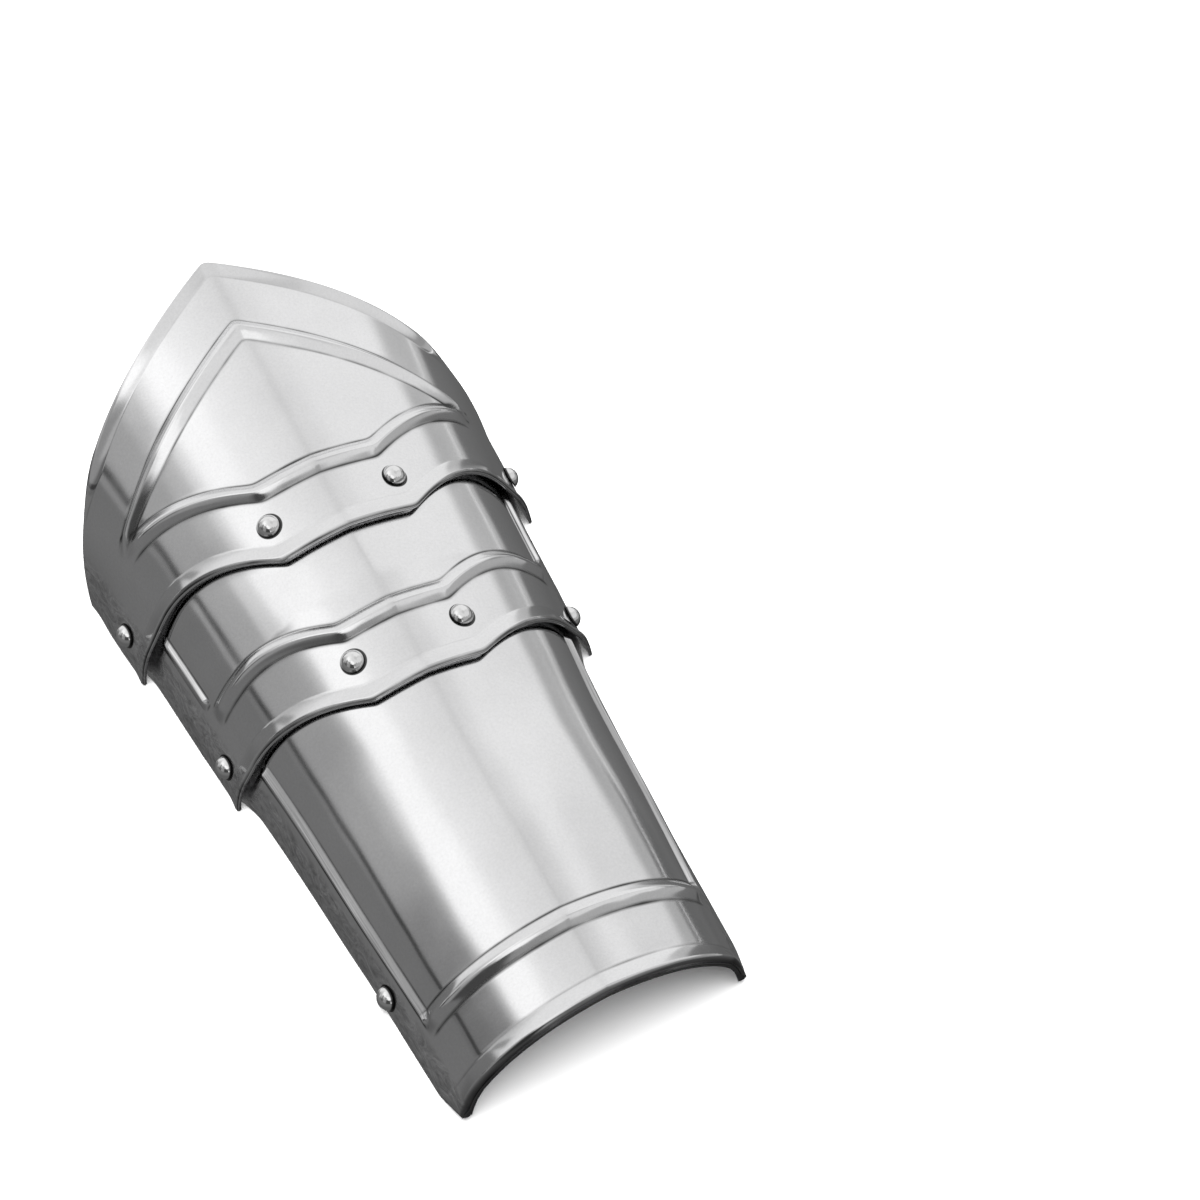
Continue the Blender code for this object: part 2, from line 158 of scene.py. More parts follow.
# Grid columns from the crown to a long edge; across a side rib they are set closer, over a share of its
# half width, and leave room in t to their neighbours.
COLUMNS = 110
RIB_COLUMNS = 29
RIB_COLUMNS_REACH = 1.2
COLUMN_ROOM = 0.004

# Hand-made waviness of the sheet: height in mm, and wavelengths in mm round and along the forearm. Each
# wave wanders by some radians over a multiple of its own length. The phase differs from plate to plate.
WANDER = 0.8
WANDER_LENGTH = 1.7
PHASE_STEP = 1.3
WAY_ROUND = 1.7 * WRIST_HALF_WIDTH
WAVINESS = (
    (0.05, 83.0, 117.0),
    (0.03, 47.0, -71.0),
    (0.012, 29.0, 43.0),
    (0.006, -17.0, 26.0),
)

# Rivets, as in the part's source.
HEAD_RADIUS = 3.85
HEAD_HEIGHT = 2.9
SHANK_RADIUS = 1.6
HOLE_RADIUS = SHANK_RADIUS + GAP
TAIL_RADIUS = 2.8
TAIL_END_RADIUS = 2.3
TAIL_HEIGHT = 1.0
TAIL_BEVEL = (0.4, 0.15)
HEAD_RIM = 0.3
RIVET_SIDES = 64
DOME_RINGS = 20
HOLE_SIDES = 32
PIN_LENGTH = 12.0
RIVET_SHARP = math.radians(50.0)
PLATE_SHARP = math.radians(60.0)
LAPPED = THICKNESS + TUCK
SIDES = {"left": -1.0, "right": 1.0}
RIVETS = {
    "elbow_crown": (0.222, 184.2, LAPPED, ("left", "right")),
    "elbow_side": (0.911, 201.6, LAPPED, ("left", "right")),
    "middle_crown": (0.212, 130.0, LAPPED, ("left", "right")),
    "middle_side": (0.907, 139.6, LAPPED, ("left", "right")),
    "wrist_side": (0.925, 44.0, THICKNESS, ("left",)),
}
HOLES = {
    "elbow_plate": ("elbow_crown", "elbow_side"),
    "middle_plate": ("elbow_crown", "elbow_side", "middle_crown", "middle_side"),
    "wrist_plate": ("middle_crown", "middle_side", "wrist_side"),
}

# Bend of the surface, per mm, at which a hollow is full of residue and painted shade and a crest is worn
# bright, and the shortest step in mm that it is worked out over; how far that residue and painted shade
# reach out of a hollow; and the painted shadow ring round each rivet, with its fade, heavier on one side.
FULL_BEND = 1.2
LEAST_STEP = 0.001
RESIDUE_AND_SHADE_REACH = 0.9
# Painted shadow ring round each rivet: its radius, its fade, and its shift towards the side away from the
# light.
PAINTED_SHADOW_RING = HEAD_RADIUS + 0.35
PAINTED_SHADOW_FADE = 0.25
PAINTED_SHADOW_SHIFT = (0.22 * MM, -0.12 * MM, 0.0)

# Steel. The shades are what is left of the colour where each is at its fullest: residue with painted shade
# in hollows, painted shade on rims, inside, low wall, and painted shade along the crown crease. The
# patterns' strengths are shares of the colour. Each bump is (scale, height in mm).
STEEL_COLOUR = (0.80, 0.80, 0.805)
RESIDUE_AND_PAINTED_SHADE = 0.10
PAINTED_RIM_SHADE = 0.30
INSIDE_SHADE = 0.80
LOW_SHADE = 0.88
PAINTED_CROWN_SHADE = 0.94
CLOUD_STRENGTH = 0.12
WIDE_CLOUD_STRENGTH = 0.14
SPECK_STRENGTH = 0.16
SWIRL_STRENGTH = 2.2
SWIRL_HEIGHT = 0.13
DRAW_LINE_STRENGTH = 2.0
STEEL_ROUGHNESS = 0.13
CLOUD_ROUGHNESS = 0.10
STEEL_BUMPS = ((55.0, 0.022), (140.0, 0.008), (1500.0, 0.002))
LOW_WALL = (0.82, 0.87)
SIDE_WALL = (0.55, 0.66)

# Rivet steel, and the painted shadow ring at the foot of each dome, by height above the sheet.
RIVET_COLOUR = (0.82, 0.82, 0.82)
RIVET_ROUGHNESS = 0.04
RIVET_BUMP = (260.0, 0.02)
PAINTED_FOOT_SHADOW = (GAP + 0.7, GAP + 0.3)
PAINTED_FOOT_SHADOW_SHADE = 0.06

TENT_GAIN = 1.55

# The light tent in degrees; azimuth 0 is +Y and 90 is +X. Each patch is (azimuth, half width, fade),
# (low, fade), (high, fade), radiance; it lies over the ones before it. The second group lies over the
# dark ground too.
TENT_WALL = 0.74
TENT_CEILING = 0.66
CEILING_EDGE = (37.0, 48.0)
TENT_PATCHES = {
    "ceiling, left": ((-70, 20, 70), (46, 6), (60, 28), 0.82),
    "ceiling, right": ((95, 15, 35), (48, 6), (72, 12), 0.54),
    "wall, front right": ((55, 14, 18), (10, 10), (52, 12), 0.76),
    "wall, right": ((90, 10, 16), (-90, 1), (40, 12), 0.61),
    "wall, back right": ((138, 38, 14), (-90, 1), (52, 8), 0.65),
    "low wall at 112": ((112, 9, 8), (-90, 1), (8, 8), 0.38),
    "low wall at 130": ((130, 9, 8), (-90, 1), (17, 6), 0.38),
    "low wall at 150": ((150, 10, 8), (-90, 1), (29, 6), 0.37),
    "low wall at 172": ((172, 12, 8), (-90, 1), (41, 6), 0.36),
    "wall, left": ((-70, 24, 28), (-90, 1), (41, 9), 0.43),
    "wall, far left": ((-82, 12, 14), (-90, 1), (37, 9), 0.32),
    "wall, far left, low": ((-82, 12, 8), (-90, 1), (7, 5), 0.17),
    "wall, front left": ((-48, 8, 12), (31, 4), (40, 8), 0.66),
    "dark, back left": ((-118, 40, 8), (-90, 1), (38, 6), 0.12),
    "black, back left": ((-146, 14, 6), (-90, 1), (32, 6), 0.05),
    "grey, back": ((-170, 8, 6), (22, 6), (38, 4), 0.25),
    "pale, back": ((-172, 10, 8), (42, 3), (58, 6), 0.70),
    "grey, back left": ((-110, 9, 8), (8, 6), (49, 5), 0.25),
    "grey, far left": ((-92, 8, 8), (29, 3), (40, 8), 0.38),
    "band at -45": ((-45, 9, 14), (42, 5), (54, 9), 0.90),
    "band at -70": ((-70, 12, 12), (50, 6), (61, 9), 0.95),
    "band at -92": ((-92, 10, 10), (56, 7), (66, 9), 0.80),
    "band at -110": ((-110, 8, 8), (56, 6), (62, 9), 0.76),
    "band at -132": ((-132, 10, 8), (54, 5), (62, 9), 0.98),
    "band at -153": ((-154, 9, 8), (38, 3), (58, 9), 0.92),
    "dusk, right": ((92, 24, 16), (-90, 1), (6, 8), 0.38),
    "dusk, front right": ((55, 12, 12), (-90, 1), (-1, 3), 0.43),
    "dusk, far right": ((87, 7, 5), (1, 2), (7, 3), 0.27),
}
HORIZON = 4.0
HORIZON_RIGHT = -12.0
HORIZON_DIPS = (45, 60, 35)
HORIZON_SOFTNESS = 1.2
GROUND_DARKENS = (-10.0, -45.0)
GROUND_SHADES = (0.15, 0.10)
GROUND_PATCHES = {
    "ground, back right": ((140, 45, 15), (-90, 1), (-40, 12), 0.05),
    "ground, front": ((10, 20, 12), (-37, 4), (-15, 4), 0.50),
    "horizon, front left": ((-56, 4, 3), (-1, 1), (7, 2), 0.42),
    "horizon, front": ((-37, 5, 4), (2, 1.5), (8, 3), 0.25),
    "line, left": ((-78, 16, 8), (8, 1), (10.4, 1), 0.04),
    "dark, right": ((75, 4, 4), (-90, 1), (-4, 3), 0.12),
    "streak, right": ((72, 12, 8), (-7.6, 0.6), (-7.0, 0.6), 0.80),
}

# Studio, in metres. The floor lies a hair below the part, and the lamp hangs over it.
FLOOR_HALF_SIDE = 3.0
FLOOR_DROP = 0.0004
FLOOR_SHADE = 0.95
LAMP_SIZE = 1.6
LAMP_HEIGHT = 1.4
LAMP_POWER = 40.0

CAMERA_PLACE = (-0.1474, -0.3946, 0.6311)
CAMERA_ANGLES = (29.17, 53.87, 0.74)
CAMERA_LENS = 69.0


# ---------------------------------------------------------------------------------------------------
# Shape functions. t and y are numpy arrays.


def smooth_step(start, end, value):
    part = np.clip((value - start) / (end - start), 0.0, 1.0)
    return part * part * (3.0 - 2.0 * part)


def ease_away(ends, t):
    """1 over the middle of a plate, falling to 0 over the range of t in ends at each side."""
    return 1.0 - smooth_step(*ends, np.abs(t))


def soft_positive(value, rounding):
    """The larger of value and 0, with the corner between them rounded."""
    return 0.5 * (value + np.sqrt(value * value + rounding * rounding))


def ridge(distance, before, after, rounding=CREST_ROUND):
    """Rib section, 1 at the crest: straight flanks, a rounded crest and small fillets at the feet."""
    reach = np.where(distance < 0.0, before, after)
    fall = np.sqrt(distance * distance + rounding * rounding) - rounding
    return soft_positive(1.0 - fall / (reach - rounding), FOOT_ROUND)


def turned_edge(distance, width, roll=0.0):
    """Edge turned outwards over width, up to 1 where its last stretch, roll wide, begins."""
    rise = np.clip(1.0 - (np.maximum(distance, roll) - roll) / (width - roll), 0.0, 1.0)
    return rise ** TURN_POWER


def rolled_down(distance, roll):
    """Fall of an edge's last stretch, 1 at its rim."""
    return np.maximum(1.0 - distance / roll, 0.0) ** 2


def from_tip(t):
    """How far t is from the tip's, with the tip itself blunted."""
    return np.hypot(t - TIP_T, TIP_BLUNTNESS) - TIP_BLUNTNESS


def outline(t):
    """The elbow plate's pointed upper edge."""
    fall = OUTLINE_DROP + OUTLINE_BULGE * (1.0 - np.abs(t - TIP_T)) ** 2
    return LENGTH - from_tip(t) * fall + OUTLINE_SKEW * (t - TIP_T) * (1.0 - t * t)


def border_width(t):
    return BORDER_WIDTH * (BORDER_END_SHARE + (1.0 - BORDER_END_SHARE) * ease_away(BORDER_ENDS, t))


def wrist_edge(t):
    """Straight across, with the two bottom corners cut back."""
    return CORNER_CUT_Y * np.maximum((np.abs(t) - CORNER_CUT_T) / (1.0 - CORNER_CUT_T), 0.0)


def scallop(shape, t):
    """Level over the crown, then an arch from each cusp that stays at its top."""
    level, cusp, slope, curve = shape
    past = np.minimum(soft_positive(np.abs(t) - cusp, CUSP_ROUND), 0.5 * slope / curve)
    return level + slope * past - curve * past * past


def point_feet(t):
    narrowing = smooth_step(*POINT_RIB_NARROWS, np.abs(t))
    return [wide + (narrow - wide) * narrowing for wide, narrow in zip(POINT_FEET, POINT_END_FEET)]


def wave_crest(shape, t):
    return scallop(shape, t) + WAVE_SHIFT


def point_rib_crest(t):
    """The pointed rib's crest, which runs into the wave rib."""
    apex, slope, curve = POINT_RIB
    return apex + slope * from_tip(t) + curve * from_tip(t) ** 2


def point_rib_place(t):
    """Where the grid has the pointed rib's crest: beside the wave rib once the two meet."""
    beside = wave_crest(ELBOW_WAVE, t) + WAVE_FEET[1] + RIB_VALLEY + point_feet(t)[0]
    return np.maximum(point_rib_crest(t), beside)


def section(t, y):
    """x and z on the gutter, and x and z of the outward normal of its cross-section."""
    part = y / LENGTH
    half_width = WRIST_HALF_WIDTH + HALF_WIDTH_GAIN * part + HALF_WIDTH_HOLLOW * part * (part - 1.0)
    height = WRIST_HEIGHT + HEIGHT_GAIN * part + HEIGHT_HOLLOW * part * (part - 1.0)
    across = half_width / math.sin(SPREAD)
    up = height / (1.0 - math.cos(SPREAD))
    angle = t * SPREAD
    x = across * np.sin(angle)
    z = up * (np.cos(angle) - math.cos(SPREAD))
    normal_x = up * np.sin(angle)
    normal_z = across * np.cos(angle)
    size = np.hypot(normal_x, normal_z)
    return x, z, normal_x / size, normal_z / size


def keel(t, y):
    return KEEL_HEIGHT * np.exp(-np.abs(section(t, y)[0]) / KEEL_REACH)


def side_rib(shape, t, y, high):
    """Rib that rises from its wrist end and sinks just before the next plate, whose edge is at high."""
    middle, half_width, low, crest, height = shape
    start = smooth_step(low, low + SIDE_RIB_RUN_IN, y)
    end = 1.0 - smooth_step(high - SIDE_RIB_RUN_IN, high, y)
    distance = (np.abs(t) - middle) / half_width - crest
    return height * start * end * ridge(distance, 1.0 + crest, 1.0 - crest, SIDE_RIB_ROUND)


def lip(edge, t, y):
    end = LIP_END_SHARE + (1.0 - LIP_END_SHARE) * ease_away(LIP_ENDS, t)
    distance = y - scallop(edge, t)
    rise = turned_edge(distance, LIP_WIDTH, LIP_ROLL) - LIP_ROLL_DROP * rolled_down(distance, LIP_ROLL)
    return LIP_HEIGHT * end * rise


def splay(heights, t, y):
    """Between the heights' places in y, level past the first and the last, each turn rounded."""
    around = np.linspace(-SPLAY_ROUND, SPLAY_ROUND, SPLAY_PLACES)
    height = sum(np.interp(y + shift, *zip(*heights)) for shift in around) / SPLAY_PLACES
    return height * smooth_step(SPLAY_START, 1.0, np.abs(t))


def waviness(t, y, phase):
    """Low uneven swell of hand-worked sheet, between -1 and 1 times the sum of the heights."""
    round_way = t * WAY_ROUND
    swell = 0.0
    for number, (height, across, along) in enumerate(WAVINESS):
        turn = 2.0 * math.pi * (round_way / across + y / along)
        drift = WANDER * np.sin(2.0 * math.pi * y / (WANDER_LENGTH * abs(along)) + phase + number)
        swell = swell + height * np.sin(turn + drift + phase * (number + 1.0))
    return swell * (1.0 - t ** 8)


def elbow_relief(t, y):
    wave = ridge(y - wave_crest(ELBOW_WAVE, t), *WAVE_FEET) * ease_away(ELBOW_RIB_ENDS, t)
    point = ridge(y - point_rib_crest(t), *point_feet(t)) * ease_away(POINT_RIB_ENDS, t)
    border = BORDER_HEIGHT * turned_edge(outline(t) - y, border_width(t)) * ease_away(BORDER_ENDS, t)
    edges = lip(ELBOW_EDGE, t, y) + border + splay(ELBOW_SPLAY, t, y)
    return RIB_HEIGHT * np.maximum(wave, point) + edges + keel(t, y)


def middle_tuck(t, y):
    """Straight down to where it goes below the elbow plate's edge."""
    length = scallop(ELBOW_EDGE, t) - MIDDLE_TUCK_LEAD - MIDDLE_TUCK_START
    return TUCK * np.clip((y - MIDDLE_TUCK_START) / length, 0.0, 1.0)


def middle_relief(t, y):
    wave = ridge(y - wave_crest(MIDDLE_WAVE, t), *WAVE_FEET)
    rib = RIB_HEIGHT * wave * ease_away(MIDDLE_RIB_ENDS, t)
    side = side_rib(MIDDLE_SIDE_RIB, t, y, scallop(ELBOW_EDGE, t)) + splay(MIDDLE_SPLAY, t, y)
    return rib + lip(MIDDLE_EDGE, t, y) + side + keel(t, y) - middle_tuck(t, y)


def wrist_relief(t, y):
    rib = RIB_HEIGHT * ridge(y - WRIST_RIB_Y, *WRIST_RIB_FEET) * ease_away(WRIST_RIB_ENDS, t)
    distance = y - wrist_edge(t)
    flange = FLANGE_HEIGHT * ease_away(FLANGE_ENDS, t) * turned_edge(distance, FLANGE_WIDTH, BEAD_ROLL)
    bead = flange - BEAD_DROP * ease_away(BEAD_ENDS, t) * rolled_down(distance, BEAD_ROLL)
    side = side_rib(WRIST_SIDE_RIB, t, y, scallop(MIDDLE_EDGE, t)) + splay(WRIST_SPLAY, t, y)
    return rib + bead + side + keel(t, y) - TUCK * smooth_step(*WRIST_TUCK, y)


def plain_thickness(t, y):
    return THICKNESS + 0.0 * (t + y)


def wrist_thickness(t, y):
    distance = y - wrist_edge(t)
    nose = (BEAD_THICKNESS - BEAD_NOSE) * ease_away(BEAD_ENDS, t) * rolled_down(distance, BEAD_ROLL)
    run_out = (BEAD_THICKNESS - THICKNESS) * smooth_step(BEAD_ROLL, BEAD_RUN_OUT, distance)
    return BEAD_THICKNESS - nose - run_out


# ---------------------------------------------------------------------------------------------------
# Grids and meshes.


def spread_rows(stations):
    """Rows between stations of (place, number of rows up to the next), crowded towards each station."""
    rows = []
    for (start, count), (end, ignored) in zip(stations, stations[1:]):
        for k in range(count):
            rows.append(start + (end - start) * (0.5 - 0.5 * math.cos(math.pi * k / count)))
    rows.append(stations[-1][0])
    return np.stack(rows, axis=1)


def rib_stations(crest, feet, count=10):
    before, after = feet
    return [(crest - before, count), (crest, count), (crest + after, count)]


def lip_stations(edge):
    return [(edge, 5), (edge + LIP_ROLL, 8), (edge + LIP_WIDTH, 10)]


def elbow_rows(t):
    high = outline(t)
    point = rib_stations(point_rib_place(t), point_feet(t))
    point_top = point[-1][0]
    border = np.maximum(high - border_width(t), point_top + BORDER_ROW_SHARE * (high - point_top))
    wave = rib_stations(wave_crest(ELBOW_WAVE, t), WAVE_FEET)
    return spread_rows(lip_stations(scallop(ELBOW_EDGE, t)) + wave + point + [(border, 9), (high, 0)])


def middle_rows(t):
    level = 0.0 * t
    start = MIDDLE_SIDE_RIB[2]
    lap = scallop(ELBOW_EDGE, t)
    wave = rib_stations(wave_crest(MIDDLE_WAVE, t), WAVE_FEET)
    return spread_rows(
        lip_stations(scallop(MIDDLE_EDGE, t)) + wave
        + [(start + level, 6), (start + SIDE_RIB_RUN_IN + level, 12), (lap, 5)]
        + [(lap + SIDE_RIB_RUN_IN, 6), (MIDDLE_TOP + level, 0)])


def wrist_rows(t):
    level = 0.0 * t
    low = wrist_edge(t)
    rib = rib_stations(WRIST_RIB_Y + level, WRIST_RIB_FEET)
    lap = scallop(MIDDLE_EDGE, t)
    return spread_rows(
        [(low, 10), (low + BEAD_ROLL, 12), (low + FLANGE_WIDTH, 6)] + rib
        + [(WRIST_RIB_Y + 2.0 * WRIST_RIB_FEET[1] + level, 46), (lap, 5)]
        + [(lap + SIDE_RIB_RUN_IN, 8), (WRIST_TOP + level, 0)])


def columns_of(side_shape):
    """Places in t from edge to edge, evenly spaced and closer together across a side rib."""
    side = np.linspace(0.0, 1.0, COLUMNS + 1)
    if side_shape:
        middle, half_width = side_shape[:2]
        across = middle + half_width * np.linspace(-RIB_COLUMNS_REACH, RIB_COLUMNS_REACH, RIB_COLUMNS)
        outside = (side < across[0] - COLUMN_ROOM) | (side > across[-1] + COLUMN_ROOM)
        side = np.sort(np.concatenate([side[outside], across]))
    return np.concatenate([-side[:0:-1], side])


PLATES = {
    "elbow_plate": (None, elbow_rows, elbow_relief, plain_thickness),
    "middle_plate": (MIDDLE_SIDE_RIB, middle_rows, middle_relief, plain_thickness),
    "wrist_plate": (WRIST_SIDE_RIB, wrist_rows, wrist_relief, wrist_thickness),
}


def raised(t, y, rise):
    """Points in mm that stand rise above the gutter; the long edges stay level with the ground."""
    x, z, normal_x, normal_z = section(t, y)
    points = np.stack([x + normal_x * rise, y + 0.0 * x, z + normal_z * rise], axis=-1)
    points[0, ..., 2] = 0.0
    points[-1, ..., 2] = 0.0
    return points


def sheet_loops(columns, rows, relief, thickness, phase):
    """Closed loops of points round the sheet, one per column: outside, high rim, inside, low rim.

    Returns them with each point's share of the way through the sheet, its relief and its t.
    """
    edges = rows(columns)
    y = edges.copy()
    y[:, 0] += EDGE_REACH
    y[:, -1] -= EDGE_REACH
    t = columns[:, None]
    turn = math.pi * (np.arange(EDGE_STEPS - 1) + 1.0) / EDGE_STEPS
    reach = EDGE_REACH * (1.0 - np.sin(turn))
    share = 0.5 * (1.0 - np.cos(turn))
    loop_y = np.concatenate([
        y,
        edges[:, -1:] - reach,
        y[:, ::-1],
        edges[:, :1] + reach[::-1],
    ], axis=1)
    flat = np.zeros(y.shape[1])
    through = np.concatenate([flat, share, flat + 1.0, share[::-1]])
    relief_y = np.clip(loop_y, y[:, :1], y[:, -1:])
    rise = relief(t, relief_y) + waviness(t, relief_y, phase)
    points = raised(t, loop_y, rise - through * thickness(t, relief_y))
    return points, through, rise, t + 0.0 * loop_y


def sheet_faces(wide, rows, loop):
    """Faces of a sheet whose vertices are numbered loop by loop, with a cap at each long edge."""
    number = np.arange(wide * loop).reshape(wide, loop)
    after = np.roll(number, -1, axis=1)
    faces = np.stack([number[:-1], number[1:], after[1:], after[:-1]], axis=-1).reshape(-1, 4).tolist()
    for ring, flip in ((number[0], False), (number[-1], True)):
        inside = ring[rows + EDGE_STEPS - 1:2 * rows + EDGE_STEPS - 1][::-1]
        caps = [[ring[j], ring[j + 1], inside[j + 1], inside[j]] for j in range(rows - 1)]
        caps.append(ring[rows - 1:rows + EDGE_STEPS].tolist())
        caps.append(ring[2 * rows + EDGE_STEPS - 2:].tolist() + [ring[0]])
        faces += [cap[::-1] if flip else cap for cap in caps]
    return [[int(corner) for corner in face] for face in faces]


def bend(rise, points, axis):
    """Second derivative of the relief, per mm of the surface: positive in hollows, negative on crests."""
    step = np.maximum(np.linalg.norm(np.gradient(points, axis=axis), axis=-1), LEAST_STEP)
    return np.gradient(np.gradient(rise, axis=axis) / step, axis=axis) / step


def spread(values, points):
    """Values carried along the forearm, fading out over how far the residue and painted shade reach."""
    place = points[..., 1]
    apart = np.abs(place[:, :, None] - place[:, None, :])
    return np.max(values[:, None, :] * np.clip(1.0 - apart / RESIDUE_AND_SHADE_REACH, 0.0, 1.0), axis=2)


def store(mesh, name, values):
    attribute = mesh.attributes.new(name, "FLOAT", "POINT")
    attribute.data.foreach_set("value", np.asarray(values, dtype=np.float32).ravel())


def fine_plate(name, side_shape, rows, relief, thickness, phase):
    columns = columns_of(side_shape)
    points, through, rise, t = sheet_loops(columns, rows, relief, thickness, phase)
    wide, loop = t.shape
    count = rows(columns).shape[1]
    outer = points[:, :count]
    bends = (bend(rise[:, :count], outer, 0) + bend(rise[:, :count], outer, 1)) / FULL_BEND
    hollows = np.clip(bends, 0.0, 1.0)
    hollows[1:-1] = np.maximum(hollows[1:-1], np.maximum(hollows[:-2], hollows[2:]))
    corners = points.reshape(-1, 3) * MM
    corners[:, 1] -= 0.5 * LENGTH * MM
    mesh = bpy.data.meshes.new(name)
    mesh.from_pydata(corners.tolist(), [], sheet_faces(wide, count, loop))
    mesh.update()
    hollow = np.zeros(t.shape)
    worn = np.zeros(t.shape)
    rim = np.zeros(t.shape)
    ribbed = np.zeros(t.shape)
    hollow[:, :count] = spread(hollows, outer)
    worn[:, :count] = np.clip(-bends, 0.0, 1.0)
    if side_shape:
        ribbed[:, :count] = side_rib(side_shape, t[:, :count], outer[..., 1], MIDDLE_TOP) / side_shape[4]
    # Painted shade on the sheet's cut edge; on the wrist plate also over the bead's roll and its low edge.
    rim[:, count:count + EDGE_STEPS - 1] = 1.0
    if thickness is wrist_thickness:
        from_edge = outer[..., 1] - wrist_edge(columns[:, None])
        rim[:, :count] = 1.0 - smooth_step(0.5 * BEAD_ROLL, BEAD_ROLL, from_edge)
        rim[:, 2 * count + EDGE_STEPS - 1:] = 1.0
    store(mesh, "hollow", hollow)
    store(mesh, "worn", worn)
    store(mesh, "rim", rim)
    store(mesh, "inside", np.broadcast_to(through, t.shape))
    store(mesh, "side", np.abs(t))
    store(mesh, "side_rib", ribbed)
    plate = bpy.data.objects.new(name, mesh)
    bpy.context.scene.collection.objects.link(plate)
    return plate


def drill(plate, places):
    """Cuts the rivet holes into the plate's mesh."""
    pins = bmesh.new()
    for place in places:
        bmesh.ops.create_cone(
            pins, cap_ends=True, segments=HOLE_SIDES, radius1=HOLE_RADIUS * MM,
            radius2=HOLE_RADIUS * MM, depth=PIN_LENGTH * MM, matrix=place)
    data = bpy.data.meshes.new("pins")
    pins.to_mesh(data)
    pins.free()
    cutter = bpy.data.objects.new("pins", data)
    bpy.context.scene.collection.objects.link(cutter)
    modifier = plate.modifiers.new("holes", "BOOLEAN")
    modifier.operation = "DIFFERENCE"
    modifier.solver = "EXACT"
    modifier.object = cutter
    drilled = bpy.data.meshes.new_from_object(
        plate.evaluated_get(bpy.context.evaluated_depsgraph_get()))
    plate.modifiers.clear()
    old = plate.data
    plate.data = drilled
    bpy.data.meshes.remove(old)
    bpy.data.objects.remove(cutter)
    bpy.data.meshes.remove(data)


def rivet_profile(depth):
    """From the tail's end up to the top of the dome; 0 is the outer face of the sheet."""
    dome = (HEAD_RADIUS ** 2 + HEAD_HEIGHT ** 2) / (2.0 * HEAD_HEIGHT)
    reach = math.asin(HEAD_RADIUS / dome)
    tail = -depth - GAP
    points = [
        (0.0, tail - TAIL_HEIGHT),
        (TAIL_END_RADIUS - TAIL_BEVEL[0], tail - TAIL_HEIGHT),
        (TAIL_END_RADIUS, tail - TAIL_HEIGHT + TAIL_BEVEL[1]),
        (TAIL_RADIUS, tail),
        (SHANK_RADIUS, tail),
        (SHANK_RADIUS, GAP),
        (HEAD_RADIUS - HEAD_RIM, GAP),
    ]
    for ring in range(DOME_RINGS, 0, -1):
        angle = reach * ring / DOME_RINGS
        points.append((dome * math.sin(angle), GAP + HEAD_HEIGHT - dome * (1.0 - math.cos(angle))))
    return points + [(0.0, GAP + HEAD_HEIGHT)]


def turned_mesh(name, profile):
    """Solid of revolution about Z from (radius, height) points in mm, its ends on the axis."""
    mesh = bmesh.new()
    rings = []
    for radius, height in profile:
        if radius == 0.0:
            rings.append([mesh.verts.new((0.0, 0.0, height * MM))])
            continue
        angles = [2.0 * math.pi * k / RIVET_SIDES for k in range(RIVET_SIDES)]
        places = [Vector((radius * math.cos(a), radius * math.sin(a), height)) for a in angles]
        rings.append([mesh.verts.new(place * MM) for place in places])
    for lower, upper in zip(rings, rings[1:]):
        for k in range(RIVET_SIDES):
            after = (k + 1) % RIVET_SIDES
            if len(lower) == 1:
                mesh.faces.new((lower[0], upper[after], upper[k]))
            elif len(upper) == 1:
                mesh.faces.new((lower[k], lower[after], upper[0]))
            else:
                mesh.faces.new((lower[k], lower[after], upper[after], upper[k]))
    data = bpy.data.meshes.new(name)
    mesh.to_mesh(data)
    mesh.free()
    store(data, "height", [vertex.co.z / MM for vertex in data.vertices])
    data.shade_smooth()
    data.set_sharp_from_angle(angle=RIVET_SHARP)
    return data


def surface_point(relief, t, y):
    x, z, normal_x, normal_z = section(t, y)
    rise = relief(t, y)
    return Vector((x + normal_x * rise, y - 0.5 * LENGTH, z + normal_z * rise))


def rivet_place(relief, t, y):
    """Matrix, in metres, that stands +Z on the plate's outward normal at (t, y)."""
    step = 0.01
    along = surface_point(relief, t + step, y) - surface_point(relief, t - step, y)
    forward = surface_point(relief, t, y + 1.0) - surface_point(relief, t, y - 1.0)
    normal = along.cross(forward).normalized()
    turn = normal.to_track_quat("Z", "Y").to_matrix().to_4x4()
    return Matrix.Translation(surface_point(relief, t, y) * MM) @ turn


# ---------------------------------------------------------------------------------------------------
# Materials and light.


